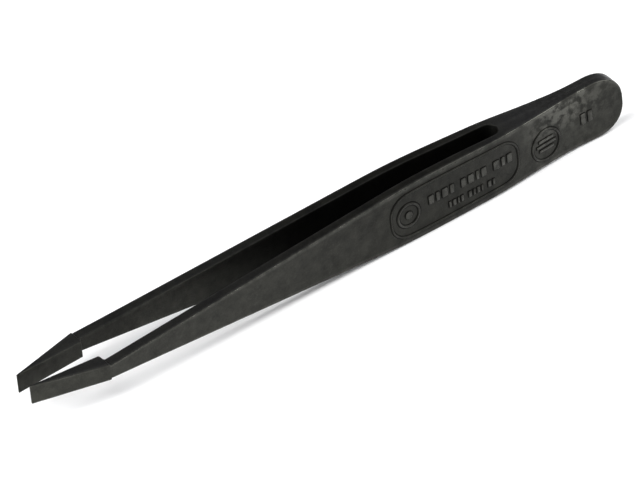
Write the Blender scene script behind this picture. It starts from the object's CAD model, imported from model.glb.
"""Looks of the one-piece moulded plastic precision tweezers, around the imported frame.

Shapes are worked out in millimetres: the station from the tip end, the distance across from the mid plane
between the arms, and the height above the middle of the width. to_row() turns them into the row frame.
"""
import math

import bmesh
import bpy
from mathutils import Matrix, Vector
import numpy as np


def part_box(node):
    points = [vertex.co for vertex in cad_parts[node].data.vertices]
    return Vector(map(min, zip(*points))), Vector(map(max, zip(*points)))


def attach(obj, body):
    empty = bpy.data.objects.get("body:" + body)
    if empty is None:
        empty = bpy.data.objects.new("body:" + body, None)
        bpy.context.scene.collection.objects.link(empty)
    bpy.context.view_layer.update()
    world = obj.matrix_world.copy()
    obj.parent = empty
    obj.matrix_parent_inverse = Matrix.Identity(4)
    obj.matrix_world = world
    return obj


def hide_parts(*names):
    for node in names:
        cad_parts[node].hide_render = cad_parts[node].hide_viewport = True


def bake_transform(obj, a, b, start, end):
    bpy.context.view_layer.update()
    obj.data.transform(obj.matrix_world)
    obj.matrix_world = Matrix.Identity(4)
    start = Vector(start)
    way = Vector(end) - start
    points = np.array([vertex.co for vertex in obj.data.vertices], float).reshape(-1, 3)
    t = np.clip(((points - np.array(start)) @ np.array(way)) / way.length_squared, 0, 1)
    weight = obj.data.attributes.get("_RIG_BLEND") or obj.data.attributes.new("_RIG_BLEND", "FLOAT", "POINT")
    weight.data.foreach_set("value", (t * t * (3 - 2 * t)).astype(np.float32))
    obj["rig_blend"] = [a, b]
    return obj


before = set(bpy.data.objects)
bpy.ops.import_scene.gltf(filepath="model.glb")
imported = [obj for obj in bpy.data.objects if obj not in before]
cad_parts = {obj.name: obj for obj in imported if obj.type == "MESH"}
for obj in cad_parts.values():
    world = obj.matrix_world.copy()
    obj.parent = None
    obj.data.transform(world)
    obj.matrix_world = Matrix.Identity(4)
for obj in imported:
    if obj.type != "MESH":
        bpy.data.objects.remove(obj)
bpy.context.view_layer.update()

MM = 0.001

# ---------------------------------------------------------------- sizes from the frame, in millimetres

TIP_LOW, TIP_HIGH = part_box("near_tip")
GRIP_LOW, GRIP_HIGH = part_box("near_grip")
SPRING_LOW, SPRING_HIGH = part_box("near_spring")
_, HEEL_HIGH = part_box("tail_heel")
PAD_LOW, PAD_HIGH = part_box("tail_pad")

AXIS_HEIGHT = (GRIP_LOW.z + GRIP_HIGH.z) / 2


def station(x):
    """Distance from the tip end, in millimetres, of a row-frame x."""
    return (x - TIP_LOW.x) / MM


LENGTH = station(PAD_HIGH.x)
BEND = station(TIP_HIGH.x)
GRIP_FRONT = station(GRIP_LOW.x)
SPRING_FRONT = station(GRIP_HIGH.x)
SLOT_CENTRE = station(SPRING_HIGH.x)
PAD_FRONT = station(PAD_LOW.x)

BEND_SPAN = -TIP_LOW.y / MM
TIP_END_GAP = -TIP_HIGH.y / MM
TIP_END_HALF_WIDTH = (TIP_HIGH.z - TIP_LOW.z) / 2 / MM
CROWN_HALF_WIDTH = (GRIP_HIGH.z - GRIP_LOW.z) / 2 / MM
HEEL_SPAN = HEEL_HIGH.y / MM
SLOT_RADIUS = -SPRING_HIGH.y / MM
PAD_HALF_THICKNESS = PAD_HIGH.y / MM
SLOT_END = SLOT_CENTRE + SLOT_RADIUS

# ---------------------------------------------------------------- shape values that the frame doesn't hold

TIP_END_THICKNESS = 0.3
TIP_REAR_HALF_WIDTH = 1.5
JAW_REAR = BEND - 0.2
JAW_STEP_LENGTH = 0.55
JAW_STEP_REAR = JAW_REAR + JAW_STEP_LENGTH
JAW_REAR_GAP = 2.35
SHANK_FRONT_GAP = 3.5
SHANK_FRONT_HALF_WIDTH = 1.22
SLOT_TAPER_END = 83.0
CROWN_FRONT = 71.75
CROWN_REAR = 79.0
WAIST = 100.0
WAIST_HALF_WIDTH = 5.1
LOBE = 111.0
LOBE_HALF_WIDTH = 5.47
END_LENGTH = 6.3
END_POWER = 2.4

ARM_OUTER_RADIUS = 0.2
ARM_INNER_RADIUS = 0.12
TIP_EDGE_RADIUS = 0.13

# how much the tip's end and its outer shoulder are drawn in to soften them
TIP_SOFTENING = 0.07
# length behind the bend over which the edge radii grow from the tip's to the arm's
RADIUS_GROWTH_LENGTH = 8.0

# ---------------------------------------------------------------- how finely the surfaces are divided

INNER_STEPS = 4
FILLET_STEPS = 6
TOP_STEPS = 4
OUTER_STEPS = 8
END_STEPS = 36
TIP_PITCH = 0.6
SHANK_PITCH = 1.2
GRIP_PITCH = 1.0
SPRING_PITCH = 0.6
TAIL_PITCH = 0.5
# tail rows whose rim point is less than this behind the slot's end fan out round its closed end
FAN_LENGTH = 0.6


def to_row(along, across, up):
    """A point of the row frame, in metres."""
    return Vector((TIP_LOW.x + along * MM, across * MM, AXIS_HEIGHT + up * MM))


def soft_ramp(distance, width):
    """0 before a corner and the distance after it, rounded over a width."""
    if distance <= -width / 2:
        return 0.0
    if distance >= width / 2:
        return distance
    return (distance + width / 2) ** 2 / (2 * width)


def profile(points, roundings):
    """A function through the points, straight between them, with each inner corner rounded over a length."""
    slopes = [(high - low) / (end - start) for (start, low), (end, high) in zip(points, points[1:])]
    corners = [(point[0], after - before, rounding)
               for point, before, after, rounding in zip(points[1:], slopes, slopes[1:], roundings)]
    start, value = points[0]

    def at(along):
        bends = sum(change * soft_ramp(along - corner, rounding) for corner, change, rounding in corners)
        return value + slopes[0] * (along - start) + bends

    return at


outer_span = profile([(0.0, TIP_END_GAP + TIP_END_THICKNESS), (BEND, BEND_SPAN), (SLOT_CENTRE, HEEL_SPAN),
                      (PAD_FRONT, PAD_HALF_THICKNESS), (LENGTH, PAD_HALF_THICKNESS)], (0.7, 5.0, 5.0))
jaw_gap = profile([(0.0, TIP_END_GAP), (JAW_REAR, JAW_REAR_GAP)], ())
arm_gap = profile([(BEND, SHANK_FRONT_GAP), (SLOT_TAPER_END, SLOT_RADIUS), (SLOT_END, SLOT_RADIUS)], (6.0,))
tip_half_width = profile([(0.0, TIP_END_HALF_WIDTH), (BEND, TIP_REAR_HALF_WIDTH)], ())
arm_half_width = profile([(BEND, SHANK_FRONT_HALF_WIDTH), (CROWN_FRONT, CROWN_HALF_WIDTH),
                          (CROWN_REAR, CROWN_HALF_WIDTH), (WAIST, WAIST_HALF_WIDTH),
                          (LOBE, LOBE_HALF_WIDTH)], (8.5, 6.0, 9.0))

# ---------------------------------------------------------------- rows of points round half a section


def inner_points(along, gap, half, radius):
    """Inner face from the middle up, then its edge's fillet up to the narrow face."""
    points = [(along, gap, (half - radius) * step / INNER_STEPS) for step in range(INNER_STEPS)]
    for step in range(FILLET_STEPS + 1):
        turn = math.pi / 2 * step / FILLET_STEPS
        points.append((along, gap + radius * (1 - math.cos(turn)), half - radius * (1 - math.sin(turn))))
    return points


def outer_points(rim, normal, span, radius):
    """Fillet from the narrow face to the broad face, then down the broad face to its middle."""
    points = []
    for step in range(FILLET_STEPS + 1):
        turn = math.pi / 2 * step / FILLET_STEPS
        inset = radius * (1 - math.cos(turn))
        along = rim[0] - inset * normal[0]
        points.append((along, span(along) - radius * (1 - math.sin(turn)), rim[1] - inset * normal[1]))
    along, _, top = points[-1]
    for step in range(1, OUTER_STEPS + 1):
        points.append((along, span(along), top * (1 - step / OUTER_STEPS)))
    return points


def join_row(inner, outer):
    """A whole row: inner side, narrow face, outer side."""
    start, end = Vector(inner[-1]), Vector(outer[0])
    narrow = [tuple(start.lerp(end, step / TOP_STEPS)) for step in range(1, TOP_STEPS)]
    return inner + narrow + outer


def arm_row(along, gap, half, inner_radius, outer_radius, span=outer_span):
    return join_row(inner_points(along, gap, half, inner_radius),
                    outer_points((along, half), (0.0, 1.0), span, outer_radius))


def tip_row(along, inset=0.0):
    """A row of the tip, whose wedge thins to the tip end."""
    gap = jaw_gap(along) + inset
    thickness = outer_span(along) - inset - gap
    radius = min(TIP_EDGE_RADIUS, 0.3 * thickness)
    return arm_row(along, gap, tip_half_width(along) - inset, radius, radius,
                   lambda here: outer_span(here) - inset)


def spread(start, end, pitch):
    """Stations from start to end, both included, about a pitch apart."""
    count = max(1, round((end - start) / pitch))
    return [start + (end - start) * step / count for step in range(count + 1)]


def jaw_step_gap(along):
    """Inner face across the slanted rear of the jaw block."""
    share = (along - JAW_REAR) / JAW_STEP_LENGTH
    return JAW_REAR_GAP + (arm_gap(JAW_STEP_REAR) - JAW_REAR_GAP) * share


def tip_rows():
    """The knife-thin end, the wedge, then the jaw block's slanted rear and the outer shoulder."""
    rows = [tip_row(0.0, TIP_SOFTENING), tip_row(0.03, TIP_SOFTENING * 0.4), tip_row(0.1)]
    rows += [tip_row(along) for along in spread(0.4, JAW_REAR - 0.12, TIP_PITCH)]
    rows.append(tip_row(JAW_REAR - 0.05))
    block_half = tip_half_width(BEND)
    steps = ((JAW_REAR + 0.04, block_half), (BEND - 0.08, block_half), (BEND, block_half - TIP_SOFTENING),
             (BEND + 0.03, SHANK_FRONT_HALF_WIDTH + TIP_SOFTENING), (BEND + 0.1, SHANK_FRONT_HALF_WIDTH),
             (JAW_STEP_REAR - 0.04, SHANK_FRONT_HALF_WIDTH))
    for along, half in steps:
        rows.append(arm_row(along, jaw_step_gap(along), half, TIP_EDGE_RADIUS, TIP_EDGE_RADIUS))
    return rows


def shank_row(along):
    """A row of the arm; the edge radii grow from the tip's to the arm's over the shank's first stretch."""
    growth = min(1.0, max(0.0, (along - BEND) / RADIUS_GROWTH_LENGTH))
    inner_radius = TIP_EDGE_RADIUS + growth * (ARM_INNER_RADIUS - TIP_EDGE_RADIUS)
    outer_radius = TIP_EDGE_RADIUS + growth * (ARM_OUTER_RADIUS - TIP_EDGE_RADIUS)
    return arm_row(along, arm_gap(along), arm_half_width(along), inner_radius, outer_radius)


def rim_points():
    """Points of the tail's upper outline, from the slot's round centre to the middle of the rounded end."""
    end_start = LENGTH - END_LENGTH
    points = [(along, arm_half_width(along)) for along in spread(SLOT_CENTRE, end_start, TAIL_PITCH)]
    for step in range(1, END_STEPS + 1):
        turn = math.pi / 2 * step / END_STEPS
        reach = math.sin(turn) ** (2 / END_POWER)
        along = end_start + END_LENGTH * reach
        points.append((along, arm_half_width(along) * max(0.0, math.cos(turn)) ** (2 / END_POWER)))
    return points


def rim_normals(points):
    """Outward normals of the outline, taken from the neighbouring points."""
    normals = []
    for index in range(len(points)):
        before = points[max(0, index - 1)]
        after = points[min(len(points) - 1, index + 1)]
        along, up = after[0] - before[0], after[1] - before[1]
        length = math.hypot(along, up)
        normals.append((-up / length, along / length))
    normals[0] = (0.0, 1.0)
    normals[-1] = (1.0, 0.0)
    return normals


def slot_inner_points(turn, half):
    """Inner points on the slot's full-round end, at an angle from across (a right angle) to along (0)."""
    points = []
    for along, rise, up in inner_points(0.0, 0.0, half, ARM_INNER_RADIUS):
        reach = SLOT_RADIUS + rise
        points.append((SLOT_CENTRE + reach * math.cos(turn), reach * math.sin(turn), up))
    return points


def solid_inner_points(along, half):
    """Inner points of a row in the solid tail: all on the mid plane, up to the narrow face."""
    count = INNER_STEPS + FILLET_STEPS + 1
    return [(along, 0.0, half * min(1.0, step / INNER_STEPS)) for step in range(count)]


def tail_rows():
    """Rows from the slot's closed end to the tail's rounded end."""
    rim = rim_points()
    normals = rim_normals(rim)
    rows = []
    fan = [index for index, point in enumerate(rim) if point[0] < SLOT_END + FAN_LENGTH]
    for index, (point, normal) in enumerate(zip(rim, normals)):
        outer = outer_points(point, normal, outer_span, ARM_OUTER_RADIUS)
        if index in fan:
            turn = math.pi / 2 * (1 - index / fan[-1])
            inner = slot_inner_points(turn, arm_half_width(SLOT_CENTRE + SLOT_RADIUS * math.cos(turn)))
        else:
            inner = solid_inner_points(point[0], point[1])
        rows.append(join_row(inner, outer))
    return rows


# ---------------------------------------------------------------- meshes

INNER_COUNT = INNER_STEPS + FILLET_STEPS
OUTER_COUNT = FILLET_STEPS + OUTER_STEPS
# what each point of half a section carries for the material: rubbed edges, inner faces, narrow faces
POINT_MARKS = {
    "edge_wear": ([0.0] * INNER_STEPS + [0.5] * (FILLET_STEPS + 1) + [0.0] * (TOP_STEPS - 1)
                  + [1.0] * (FILLET_STEPS + 1) + [0.0] * OUTER_STEPS),
    "inner_face": [1.0] * INNER_COUNT + [0.0] * (1 + TOP_STEPS + OUTER_COUNT),
    "narrow_face": [0.0] * INNER_COUNT + [1.0] * (1 + TOP_STEPS) + [0.0] * OUTER_COUNT,
}


# faces that meet at more than this many degrees keep a hard edge
SKIN_SHARP = 40.0
BLOCK_SHARP = 50.0
RIDGE_SHARP = 75.0


def finish_mesh(bm, name, material, sharp_degrees=SKIN_SHARP):
    """Clean a bmesh, shade it smooth with hard edges where it turns sharply, and make the piece."""
    bmesh.ops.remove_doubles(bm, verts=bm.verts, dist=1e-7)
    bmesh.ops.dissolve_degenerate(bm, edges=bm.edges, dist=1e-7)
    bmesh.ops.recalc_face_normals(bm, faces=bm.faces)
    limit = math.radians(sharp_degrees)
    for face in bm.faces:
        face.smooth = True
    for edge in bm.edges:
        edge.smooth = not (len(edge.link_faces) == 2 and edge.calc_face_angle(0.0) > limit)
    mesh_data = bpy.data.meshes.new(name)
    bm.to_mesh(mesh_data)
    bm.free()
    piece = bpy.data.objects.new(name, mesh_data)
    bpy.context.collection.objects.link(piece)
    mesh_data.materials.append(material)
    weighting = piece.modifiers.new("face_weighted_shading", "WEIGHTED_NORMAL")
    weighting.keep_sharp = True
    return piece


def ring_of(row, side):
    """A closed ring of row-frame points from a half row and its mirror image below the middle."""
    upper = [to_row(along, side * across, up) for along, across, up in row]
    lower = [to_row(along, side * across, -up) for along, across, up in reversed(row[1:-1])]
    return upper + lower


def skin_rows(bm, rows, side):
    """Add the rows' surface on one side of the mid plane, closed by a cap at each end."""
    rings = [[bm.verts.new(point) for point in ring_of(row, side)] for row in rows]
    for name, half_marks in POINT_MARKS.items():
        layer = bm.verts.layers.float[name]
        marks = half_marks + list(reversed(half_marks[1:-1]))
        for ring in rings:
            for vertex, mark in zip(ring, marks):
                vertex[layer] = mark
    size = len(rings[0])
    for first, second in zip(rings, rings[1:]):
        for index in range(size):
            after = (index + 1) % size
            bm.faces.new((first[index], first[after], second[after], second[index]))
    bm.faces.new(rings[0])
    bm.faces.new(rings[-1])


def zone_piece(name, rows, sides, material):
    """One zone of the moulding as a closed mesh; walls that lie inside the solid tail are left out."""
    bm = bmesh.new()
    for mark_name in POINT_MARKS:
        bm.verts.layers.float.new(mark_name)
    for side in sides:
        skin_rows(bm, rows, side)
    if len(sides) == 2:
        inner_walls = [face for face in bm.faces if all(abs(vertex.co.y) < 1e-8 for vertex in face.verts)]
        bmesh.ops.delete(bm, geom=inner_walls, context="FACES")
    return finish_mesh(bm, name, material)


def rows_between(rows, start, end):
    """The rows whose narrow face lies between two stations."""
    return [row for row in rows if start - 1e-6 <= row[-1][0] <= end + 1e-6]


# ---------------------------------------------------------------- relief on the near outer face

FOOT_DEPTH = 0.04
RELIEF_HEIGHT = 0.2
SLOPE_REACH = 0.05
FRAME_MARGIN = 1.35
FRAME_OVERRUN = 3.5
FRAME_CORNER_RADIUS = 3.2
FRAME_LINE = 0.36
FRAME_POLISH = 0.3
EMBLEM_INSET = 0.22
EMBLEM_LINE = 0.46
EMBLEM_POLISH = 0.7
DOT_STEPS = 24
TAIL_RING_INSET = 0.15
TAIL_RING_LINE = 0.36
TAIL_RING_POLISH = 0.5
TAIL_RING_STEPS = 64
TAIL_RING_BAR_HALF_HEIGHT = 0.22
BLOCK_CORNER_SHARE = 0.3
BLOCK_PITCH = 10.0
BLOCK_CORNER_STEPS = 3
UPPER_BAR_GAP = 0.4
LOWER_BAR_GAP = 0.35
TAIL_BAR_GAP = 0.45
# widths of the bars from the front; None is a wider space
UPPER_ROW = (0.9, 0.6, 1.0, 0.7, None, 0.8, 1.0, 0.5, 0.9, None, 1.0, 0.6, 0.9)
LOWER_ROW = (0.5, 0.7, 0.4, 0.6, None, 0.7, 0.5, 0.6, 0.4, None, 0.7, 0.5)
TAIL_ROW = (0.9, 0.9)
UPPER_ROW_OVERRUN = 3.2
# height above the ring's middle and half length of each bar inside the tail ring
TAIL_RING_MARKS = ((1.0, 1.5), (0.1, 2.0), (-0.8, 1.5))


# across the ridge's width, share of its height (negative is below the face), and dullness
RIDGE_SECTION = ((-0.85, -1.0, 1.0), (-0.85, 0.06, 1.0), (-0.5, 0.07, 1.0), (-0.36, 0.62, 0.35),
                 (-0.18, 0.93, 0.0), (0.0, 1.0, 0.0), (0.18, 0.93, 0.0), (0.36, 0.62, 0.35),
                 (0.5, 0.07, 1.0), (0.85, 0.06, 1.0), (0.85, -1.0, 1.0))
SKIRT_WIDTH = 0.12
SKIRT_LIFT = 0.012
PAD_EDGE = 0.08


def new_relief_mesh():
    """A mesh whose points carry the polish of raised marks and the dullness of the skirt round them."""
    bm = bmesh.new()
    for mark_name in ("edge_wear", "skirt"):
        bm.verts.layers.float.new(mark_name)
    return bm


def relief_point(bm, along, up, lift, wear, skirt):
    """A mesh point over the near outer face, carrying its wear and skirt marks."""
    vertex = bm.verts.new(face_point(along, up, lift))
    vertex[bm.verts.layers.float["edge_wear"]] = wear
    vertex[bm.verts.layers.float["skirt"]] = skirt
    return vertex


def face_point(along, up, lift):
    """A point on the near outer face, lifted outwards."""
    rise = outer_span(along + SLOPE_REACH) - outer_span(along - SLOPE_REACH)
    slope = rise / (2 * SLOPE_REACH)
    scale = lift / math.hypot(slope, 1.0)
    return to_row(along - slope * scale, -(outer_span(along) + scale), up)


def ridge(bm, path, width, height, polish):
    """Sweep a low rounded ridge with a flush skirt along a closed path of (station, height) points."""
    count = len(path)
    rings = []
    for index, (along, up) in enumerate(path):
        before, after = path[index - 1], path[(index + 1) % count]
        direction = Vector((after[0] - before[0], after[1] - before[1])).normalized()
        side = Vector((-direction.y, direction.x)) * width
        rings.append([relief_point(bm, along + side.x * across, up + side.y * across,
                                   rise * (height if rise >= 0 else FOOT_DEPTH),
                                   polish * max(0.0, rise), skirt)
                      for across, rise, skirt in RIDGE_SECTION])
    size = len(RIDGE_SECTION)
    for index, ring in enumerate(rings):
        following = rings[(index + 1) % count]
        for place in range(size):
            after = (place + 1) % size
            bm.faces.new((ring[place], ring[after], following[after], following[place]))


def raised_pad(bm, outline, height):
    """A low pad with a flush skirt and a softened top edge; outline is a function of an inset."""
    levels = ((-SKIRT_WIDTH, -FOOT_DEPTH, 1.0), (-SKIRT_WIDTH, SKIRT_LIFT, 1.0), (0.0, SKIRT_LIFT * 1.2, 1.0),
              (PAD_EDGE * 0.2, height * 0.5, 0.6), (PAD_EDGE * 0.6, height * 0.88, 0.1),
              (PAD_EDGE * 1.2, height, 0.0))
    rings = [[relief_point(bm, along, up, lift, max(0.0, lift / height), skirt)
              for along, up in outline(inset)] for inset, lift, skirt in levels]
    for first, second in zip(rings, rings[1:]):
        for index in range(len(first)):
            after = (index + 1) % len(first)
            bm.faces.new((first[index], first[after], second[after], second[index]))
    bm.faces.new(rings[-1])
    bm.faces.new(list(reversed(rings[0])))


def rounded_rectangle(centre, half_length, half_height, radius, pitch=1.0, steps=6):
    """Points of a rounded rectangle, counter-clockwise, with its straight sides divided."""
    points = []
    corners = ((1, 1, 0.0), (-1, 1, 0.5), (-1, -1, 1.0), (1, -1, 1.5))
    for right, top, start in corners:
        middle = (centre[0] + right * (half_length - radius), centre[1] + top * (half_height - radius))
        for step in range(steps + 1):
            turn = math.pi * (start + 0.5 * step / steps)
            points.append((middle[0] + radius * math.cos(turn), middle[1] + radius * math.sin(turn)))
    divided = []
    for index, point in enumerate(points):
        following = points[(index + 1) % len(points)]
        length = math.hypot(following[0] - point[0], following[1] - point[1])
        count = max(1, round(length / pitch))
        divided += [(point[0] + (following[0] - point[0]) * step / count,
                     point[1] + (following[1] - point[1]) * step / count) for step in range(count)]
    return divided


def circle_path(centre, radius, steps=48):
    return [(centre[0] + radius * math.cos(2 * math.pi * step / steps),
             centre[1] + radius * math.sin(2 * math.pi * step / steps)) for step in range(steps)]


def node_field(node):
    """Front and rear stations and the half height of a relief node of the frame."""
    low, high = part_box(node)
    return station(low.x), station(high.x), (high.z - low.z) / 2 / MM


def frame_piece(material):
    """Raised line around the marking field, parallel to the moulding's long edges."""
    front, rear, _ = node_field("near_frame")
    rear += FRAME_OVERRUN
    middle = (front + rear) / 2
    reference = arm_half_width(middle) - FRAME_MARGIN
    path = rounded_rectangle((middle, 0.0), (rear - front) / 2, reference, FRAME_CORNER_RADIUS)
    path = [(along, up * (arm_half_width(along) - FRAME_MARGIN) / reference) for along, up in path]
    bm = new_relief_mesh()
    ridge(bm, path, FRAME_LINE, RELIEF_HEIGHT, FRAME_POLISH)
    return finish_mesh(bm, "near_frame_relief", material, RIDGE_SHARP)


def emblem_ring_piece(material):
    front, rear, radius = node_field("near_emblem_ring")
    bm = new_relief_mesh()
    path = circle_path(((front + rear) / 2, 0.0), radius - EMBLEM_INSET)
    ridge(bm, path, EMBLEM_LINE, RELIEF_HEIGHT, EMBLEM_POLISH)
    return finish_mesh(bm, "near_emblem_ring_relief", material, RIDGE_SHARP)


def emblem_dot_piece(material):
    front, rear, radius = node_field("near_emblem_dot")
    middle = ((front + rear) / 2, 0.0)
    bm = new_relief_mesh()
    raised_pad(bm, lambda inset: circle_path(middle, radius - inset, DOT_STEPS), RELIEF_HEIGHT)
    return finish_mesh(bm, "near_emblem_dot_relief", material, BLOCK_SHARP)


def block(bm, centre, half_length, half_height):
    """One small raised block with softened corners."""
    corner = BLOCK_CORNER_SHARE * min(half_length, half_height)
    raised_pad(bm, lambda inset: rounded_rectangle(centre, half_length - inset, half_height - inset,
                                                   corner, BLOCK_PITCH, BLOCK_CORNER_STEPS), RELIEF_HEIGHT)


def bar_row_piece(name, node, widths, gap, overrun, material):
    """A row of plain raised bars of uneven widths along a relief node's field, and on by an overrun."""
    front, rear, half = node_field(node)
    low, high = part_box(node)
    height = ((low.z + high.z) / 2 - AXIS_HEIGHT) / MM
    filled = [gap if width is None else width for width in widths]
    scale = (rear + overrun - front) / (sum(filled) + gap * (len(filled) - 1))
    bm = new_relief_mesh()
    start = front
    for width, length in zip(widths, filled):
        if width is not None:
            block(bm, (start + length * scale / 2, height), length * scale / 2, half)
        start += (length + gap) * scale
    return finish_mesh(bm, name, material, BLOCK_SHARP)


def tail_ring_piece(material):
    """Ring on the tail with three short bars inside it."""
    low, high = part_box("near_tail_ring")
    front, rear, radius = node_field("near_tail_ring")
    middle = ((front + rear) / 2, ((low.z + high.z) / 2 - AXIS_HEIGHT) / MM)
    bm = new_relief_mesh()
    path = circle_path(middle, radius - TAIL_RING_INSET, TAIL_RING_STEPS)
    ridge(bm, path, TAIL_RING_LINE, RELIEF_HEIGHT, TAIL_RING_POLISH)
    for offset, half_length in TAIL_RING_MARKS:
        block(bm, (middle[0], middle[1] + offset), half_length, TAIL_RING_BAR_HALF_HEIGHT)
    return finish_mesh(bm, "near_tail_ring_relief", material, RIDGE_SHARP)


# ---------------------------------------------------------------- materials


def add_node(tree, kind, **values):
    node = tree.nodes.new(kind)
    for key, value in values.items():
        if key in node.inputs:
            node.inputs[key].default_value = value
        else:
            setattr(node, key, value)
    return node


def noise(tree, coordinates, scale, detail, roughness):
    node = add_node(tree, "ShaderNodeTexNoise", Scale=scale, Detail=detail, Roughness=roughness)
    tree.links.new(coordinates, node.inputs["Vector"])
    return node.outputs["Fac"]


def remap(tree, value, low, high, to_low, to_high):
    node = tree.nodes.new("ShaderNodeMapRange")
    for name, number in (("From Min", low), ("From Max", high), ("To Min", to_low), ("To Max", to_high)):
        node.inputs[name].default_value = number
    tree.links.new(value, node.inputs["Value"])
    return node.outputs["Result"]


def mix_colour(tree, amount, first, second):
    node = tree.nodes.new("ShaderNodeMix")
    node.data_type = "RGBA"
    tree.links.new(amount, node.inputs["Factor"])
    for colour, socket in ((first, node.inputs[6]), (second, node.inputs[7])):
        if isinstance(colour, tuple):
            socket.default_value = (*colour, 1.0)
        else:
            tree.links.new(colour, socket)
    return node.outputs[2]


def mix_number(tree, amount, first, second):
    """The first value where the amount is 0, the second where it is 1."""
    node = tree.nodes.new("ShaderNodeMix")
    for value, socket in ((amount, node.inputs[0]), (first, node.inputs[2]), (second, node.inputs[3])):
        tree.links.new(value, socket)
    return node.outputs[0]


def arithmetic(tree, operation, first, second):
    node = add_node(tree, "ShaderNodeMath", operation=operation)
    for value, socket in ((first, node.inputs[0]), (second, node.inputs[1])):
        if isinstance(value, (int, float)):
            socket.default_value = value
        else:
            tree.links.new(value, socket)
    return node.outputs[0]


def bump(tree, height, strength, distance, normal=None):
    node = add_node(tree, "ShaderNodeBump", Strength=strength, Distance=distance)
    tree.links.new(height, node.inputs["Height"])
    if normal is not None:
        tree.links.new(normal, node.inputs["Normal"])
    return node.outputs["Normal"]


def new_material(name):
    material = bpy.data.materials.new(name)
    material.use_nodes = True
    tree = material.node_tree
    shader = tree.nodes["Principled BSDF"]
    coordinates = tree.nodes.new("ShaderNodeTexCoord").outputs["Object"]
    return material, tree, shader, coordinates


def along_object(tree, x, stops):
    """A value that follows (row-frame x, value) stops along the object; the values are at most 2."""
    share = remap(tree, x, stops[0][0], stops[-1][0], 0.0, 1.0)
    ramp = tree.nodes.new("ShaderNodeValToRGB")
    elements = ramp.color_ramp.elements
    for index, (stop, value) in enumerate(stops):
        position = (stop - stops[0][0]) / (stops[-1][0] - stops[0][0])
        if index == 0:
            element = elements[0]
        elif index == len(stops) - 1:
            element = elements[len(elements) - 1]
        else:
            element = elements.new(position)
        element.position = position
        element.color = (value / 2, value / 2, value / 2, 1.0)
    tree.links.new(share, ramp.inputs[0])
    return arithmetic(tree, "MULTIPLY", ramp.outputs["Color"], 2.0)


def marked(tree, name):
    """A mark carried by the mesh points."""
    node = tree.nodes.new("ShaderNodeAttribute")
    node.attribute_name = name
    return node.outputs["Fac"]


def tail_mask(tree, parts):
    """1 over the upper part of the tail, where the moulding is blotchy and glossier, fading out elsewhere."""
    rise = remap(tree, parts.outputs["X"], 0.037, 0.043, 0.0, 1.0)
    fade = remap(tree, parts.outputs["X"], 0.049, 0.054, 1.0, 0.25)
    upper = remap(tree, parts.outputs["Z"], 0.0045, 0.0085, 0.1, 1.0)
    return arithmetic(tree, "MULTIPLY", arithmetic(tree, "MULTIPLY", rise, fade), upper)


# (row-frame x, value) stops along the object, fitted to the photo's brightness. The first scales the gloss of
# every face, the second scales it again on the narrow faces, and the third is how dull the inner faces are.
OUTER_GLOSS = ((-0.05, 1.4), (-0.036, 1.05), (-0.02, 1.0), (-0.008, 0.92), (0.006, 0.74), (0.02, 0.64),
               (0.03, 0.74), (0.04, 0.95), (0.052, 1.0))
NARROW_GLOSS = ((-0.02, 0.95), (-0.005, 0.45), (0.02, 0.3), (0.03, 0.8), (0.038, 2.0), (0.05, 1.4))
INNER_DULLNESS = ((-0.0575, 0.4), (-0.04, 0.32), (-0.032, 0.0), (-0.024, 0.05), (-0.014, 0.6), (-0.003, 1.0),
                  (0.0322, 1.0), (0.0338, 0.4))

DEEP_BLACK = (0.0004, 0.0004, 0.0004)
DARK_PLASTIC = (0.0030, 0.0030, 0.0029)
LIGHT_PLASTIC = (0.0075, 0.0074, 0.0058)
SPECKLE = (0.016, 0.016, 0.0145)
RUBBED_PLASTIC = (0.03, 0.03, 0.028)
BROAD_FACE_TINT = (1.0, 1.0, 0.87)
NARROW_FACE_TINT = (0.97, 0.97, 1.0)
CLOUD_SCALE = 170.0
MOTTLE_SCALE = 620.0
GRAIN_SCALE = 4200.0
RIPPLE_DEPTH = 0.00025
GRAIN_DEPTH = 0.00003
SKIRT_DULLNESS = 0.8
RUBBED_LIGHTENING = 0.5
DEEP_DARKENING = 0.8
RUBBED_GLOSS = 0.22
BLOTCH_GLOSS = 0.42
DEEP_GLOSS_SHARE = 0.1
POLISH = 0.16


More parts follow.
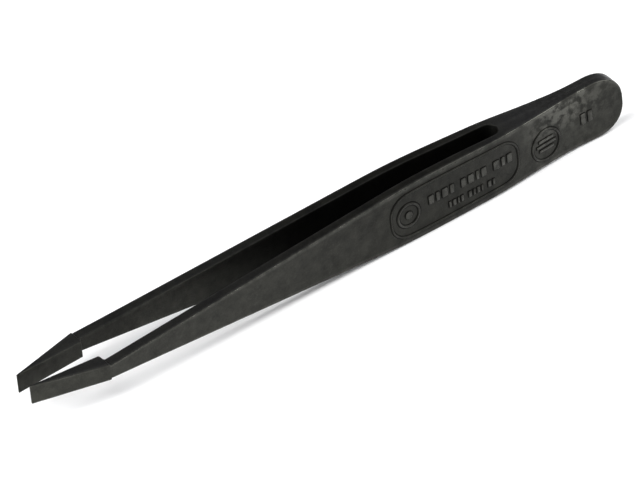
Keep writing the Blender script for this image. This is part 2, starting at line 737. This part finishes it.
def moulded_plastic():
    """Satin black fibre-filled plastic: mottled flow marks, fine grain, glossier clouds, rubbed edges.

    The inner faces are duller and darker towards the slot's closed end, and partly so at the jaws.
    """
    material, tree, shader, coordinates = new_material("moulded_black_plastic")
    parts = tree.nodes.new("ShaderNodeSeparateXYZ")
    tree.links.new(coordinates, parts.inputs[0])
    along = parts.outputs["X"]
    cloud = noise(tree, coordinates, CLOUD_SCALE, 5.0, 0.62)
    mottle = noise(tree, coordinates, MOTTLE_SCALE, 4.0, 0.6)
    grain = noise(tree, coordinates, GRAIN_SCALE, 3.0, 0.6)
    mixed = arithmetic(tree, "ADD", arithmetic(tree, "MULTIPLY", cloud, 0.5),
                       arithmetic(tree, "MULTIPLY", mottle, 0.5))
    patches = remap(tree, mixed, 0.36, 0.64, 0.0, 1.0)
    rubbed = arithmetic(tree, "MULTIPLY", marked(tree, "edge_wear"),
                        remap(tree, mottle, 0.38, 0.62, 0.35, 1.0))
    narrow = marked(tree, "narrow_face")
    inner = arithmetic(tree, "MULTIPLY", marked(tree, "inner_face"),
                       along_object(tree, along, INNER_DULLNESS))
    skirt = arithmetic(tree, "MULTIPLY", marked(tree, "skirt"), SKIRT_DULLNESS)
    deep = arithmetic(tree, "MAXIMUM", inner, skirt)

    base = mix_colour(tree, patches, DARK_PLASTIC, LIGHT_PLASTIC)
    speckled = mix_colour(tree, remap(tree, grain, 0.56, 0.74, 0.0, 0.6), base, SPECKLE)
    worn = mix_colour(tree, arithmetic(tree, "MULTIPLY", rubbed, RUBBED_LIGHTENING), speckled,
                      RUBBED_PLASTIC)
    darkened = mix_colour(tree, arithmetic(tree, "MULTIPLY", deep, DEEP_DARKENING), worn, DEEP_BLACK)
    tree.links.new(darkened, shader.inputs["Base Color"])

    blotch = arithmetic(tree, "MULTIPLY", tail_mask(tree, parts), remap(tree, mottle, 0.44, 0.58, -0.2, 1.0))
    gloss = arithmetic(tree, "ADD", remap(tree, patches, 0.0, 1.0, 0.215, 0.305),
                       remap(tree, grain, 0.3, 0.7, -0.03, 0.03))
    gloss = arithmetic(tree, "MULTIPLY", gloss, along_object(tree, along, OUTER_GLOSS))
    narrow_gloss = arithmetic(tree, "MULTIPLY", gloss, along_object(tree, along, NARROW_GLOSS))
    gloss = mix_number(tree, narrow, gloss, narrow_gloss)
    gloss = arithmetic(tree, "ADD", gloss, arithmetic(tree, "MULTIPLY", rubbed, RUBBED_GLOSS))
    gloss = arithmetic(tree, "ADD", gloss, arithmetic(tree, "MULTIPLY", blotch, BLOTCH_GLOSS))
    gloss = mix_number(tree, deep, gloss, arithmetic(tree, "MULTIPLY", gloss, DEEP_GLOSS_SHARE))
    tree.links.new(gloss, shader.inputs["Specular IOR Level"])
    tint = mix_colour(tree, narrow, BROAD_FACE_TINT, NARROW_FACE_TINT)
    tree.links.new(tint, shader.inputs["Specular Tint"])

    polish = arithmetic(tree, "MULTIPLY", arithmetic(tree, "MAXIMUM", rubbed, blotch), POLISH)
    rough = arithmetic(tree, "SUBTRACT", remap(tree, mottle, 0.3, 0.7, 0.48, 0.36), polish)
    tree.links.new(rough, shader.inputs["Roughness"])
    ripple = bump(tree, mixed, 0.3, RIPPLE_DEPTH)
    tree.links.new(bump(tree, grain, 0.4, GRAIN_DEPTH, ripple), shader.inputs["Normal"])
    return material


def floor_material():
    material, tree, shader, coordinates = new_material("pale_floor")
    cloud = noise(tree, coordinates, 6.0, 2.0, 0.5)
    colour = mix_colour(tree, remap(tree, cloud, 0.3, 0.7, 0.0, 1.0), (0.93, 0.93, 0.93), (0.95, 0.95, 0.945))
    tree.links.new(colour, shader.inputs["Base Color"])
    shader.inputs["Roughness"].default_value = 0.9
    shader.inputs["Specular IOR Level"].default_value = 0.1
    return material


# ---------------------------------------------------------------- the object


def build_object():
    plastic = moulded_plastic()
    blend_start = (SPRING_LOW.x, 0.0, 0.0)
    blend_end = (SPRING_HIGH.x, 0.0, 0.0)
    tips = tip_rows()
    arm_stations = (spread(JAW_STEP_REAR + 0.06, GRIP_FRONT, SHANK_PITCH)
                    + spread(GRIP_FRONT, SPRING_FRONT, GRIP_PITCH)[1:]
                    + spread(SPRING_FRONT, SLOT_CENTRE, SPRING_PITCH)[1:])
    arm = [shank_row(along) for along in arm_stations]
    for side_name, side in (("near", -1), ("far", 1)):
        body = f"{side_name}_arm"
        tip = zone_piece(f"{side_name}_tip_skin", tips + arm[:1], (side,), plastic)
        shank = zone_piece(f"{side_name}_shank_skin", rows_between(arm, 0.0, GRIP_FRONT), (side,), plastic)
        grip = zone_piece(f"{side_name}_grip_skin", rows_between(arm, GRIP_FRONT, SPRING_FRONT),
                          (side,), plastic)
        for piece, node in ((tip, "tip"), (shank, "shank"), (grip, "grip")):
            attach(piece, body)
            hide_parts(f"{side_name}_{node}")
        spring = zone_piece(f"{side_name}_spring_skin", rows_between(arm, SPRING_FRONT, SLOT_CENTRE),
                            (side,), plastic)
        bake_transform(spring, body, "root", start=blend_start, end=blend_end)
        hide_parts(f"{side_name}_spring")
    tail = tail_rows()
    cut = next(index for index, row in enumerate(tail) if row[-1][0] >= PAD_FRONT)
    for name, node, rows in (("tail_heel_skin", "tail_heel", tail[:cut + 1]),
                             ("tail_pad_skin", "tail_pad", tail[cut:])):
        piece = zone_piece(name, rows, (-1, 1), plastic)
        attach(piece, "root")
        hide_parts(node)
    for piece, node in (
            (frame_piece(plastic), "near_frame"),
            (emblem_ring_piece(plastic), "near_emblem_ring"),
            (emblem_dot_piece(plastic), "near_emblem_dot"),
            (bar_row_piece("near_upper_bars_relief", "near_upper_bars", UPPER_ROW, UPPER_BAR_GAP,
                           UPPER_ROW_OVERRUN, plastic), "near_upper_bars"),
            (bar_row_piece("near_lower_bars_relief", "near_lower_bars", LOWER_ROW, LOWER_BAR_GAP,
                           0.0, plastic), "near_lower_bars")):
        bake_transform(piece, "near_arm", "root", start=blend_start, end=blend_end)
        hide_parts(node)
    for piece, node in ((tail_ring_piece(plastic), "near_tail_ring"),
                        (bar_row_piece("near_tail_bars_relief", "near_tail_bars", TAIL_ROW, TAIL_BAR_GAP,
                                       0.0, plastic), "near_tail_bars")):
        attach(piece, "root")
        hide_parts(node)


# ---------------------------------------------------------------- floor, light and camera


FLOOR_SIZE = 2.0
# the floor lies this far below the object, so the two faces don't coincide
FLOOR_DROP = 0.00002


def add_floor():
    bm = bmesh.new()
    bmesh.ops.create_grid(bm, x_segments=1, y_segments=1, size=FLOOR_SIZE)
    mesh_data = bpy.data.meshes.new("floor")
    bm.to_mesh(mesh_data)
    bm.free()
    floor = bpy.data.objects.new("floor", mesh_data)
    bpy.context.collection.objects.link(floor)
    mesh_data.materials.append(floor_material())
    floor.location.z = -FLOOR_DROP


def aim(obj, azimuth, elevation, distance, target):
    """Place an object at an azimuth and elevation round a target and point it there."""
    turn, rise = math.radians(azimuth), math.radians(elevation)
    back = Vector((math.sin(turn) * math.cos(rise), -math.cos(turn) * math.cos(rise), math.sin(rise)))
    obj.location = target + back * distance
    obj.rotation_mode = "QUATERNION"
    obj.rotation_quaternion = (-back).to_track_quat("-Z", "Y")


def add_area(name, azimuth, elevation, distance, size, power, target):
    data = bpy.data.lights.new(name, "AREA")
    data.shape = "SQUARE"
    data.size = size
    data.energy = power
    light = bpy.data.objects.new(name, data)
    bpy.context.collection.objects.link(light)
    aim(light, azimuth, elevation, distance, target)


def add_lights(target):
    """Two wide boxes at the ends of the object light the floor; a small one draws the long upper edges."""
    add_area("tip_side_softbox", -85.0, 48.0, 1.3, 1.1, 21.5, target)
    add_area("tail_side_softbox", 75.0, 42.0, 1.3, 1.1, 17.0, target)
    add_area("edge_light", 26.0, 38.0, 1.5, 0.28, 4.0, target)
    world = bpy.data.worlds.new("studio")
    world.use_nodes = True
    background = world.node_tree.nodes["Background"]
    background.inputs["Color"].default_value = (0.9, 0.92, 1.0, 1.0)
    background.inputs["Strength"].default_value = 0.15
    bpy.context.scene.world = world


def add_camera(target):
    """A long lens at the viewing angle, rolled a little, with the object slightly off the frame's centre."""
    azimuth, elevation, roll = math.radians(-30.52), math.radians(37.37), math.radians(-6.79)
    distance = 2.29
    metres_per_frame = 0.1015
    sensor = 36.0
    back = Vector((math.sin(azimuth) * math.cos(elevation), -math.cos(azimuth) * math.cos(elevation),
                   math.sin(elevation)))
    level_right = (-back).cross(Vector((0.0, 0.0, 1.0))).normalized()
    level_up = level_right.cross(-back)
    right = level_right * math.cos(roll) + level_up * math.sin(roll)
    up = level_up * math.cos(roll) - level_right * math.sin(roll)
    data = bpy.data.cameras.new("camera")
    data.sensor_width = sensor
    data.lens = sensor * distance / metres_per_frame
    data.clip_start, data.clip_end = 0.05, 20.0
    camera = bpy.data.objects.new("camera", data)
    bpy.context.collection.objects.link(camera)
    aside = right * -0.00065 + up * 0.00001
    turn = Matrix((right, up, back)).transposed().to_4x4()
    camera.matrix_world = Matrix.Translation(target + aside + back * distance) @ turn
    bpy.context.scene.camera = camera


build_object()
add_floor()
middle = Vector(((TIP_LOW.x + PAD_HIGH.x) / 2, 0.0, AXIS_HEIGHT))
add_lights(middle)
add_camera(middle)
bpy.context.scene.view_settings.view_transform = "Standard"
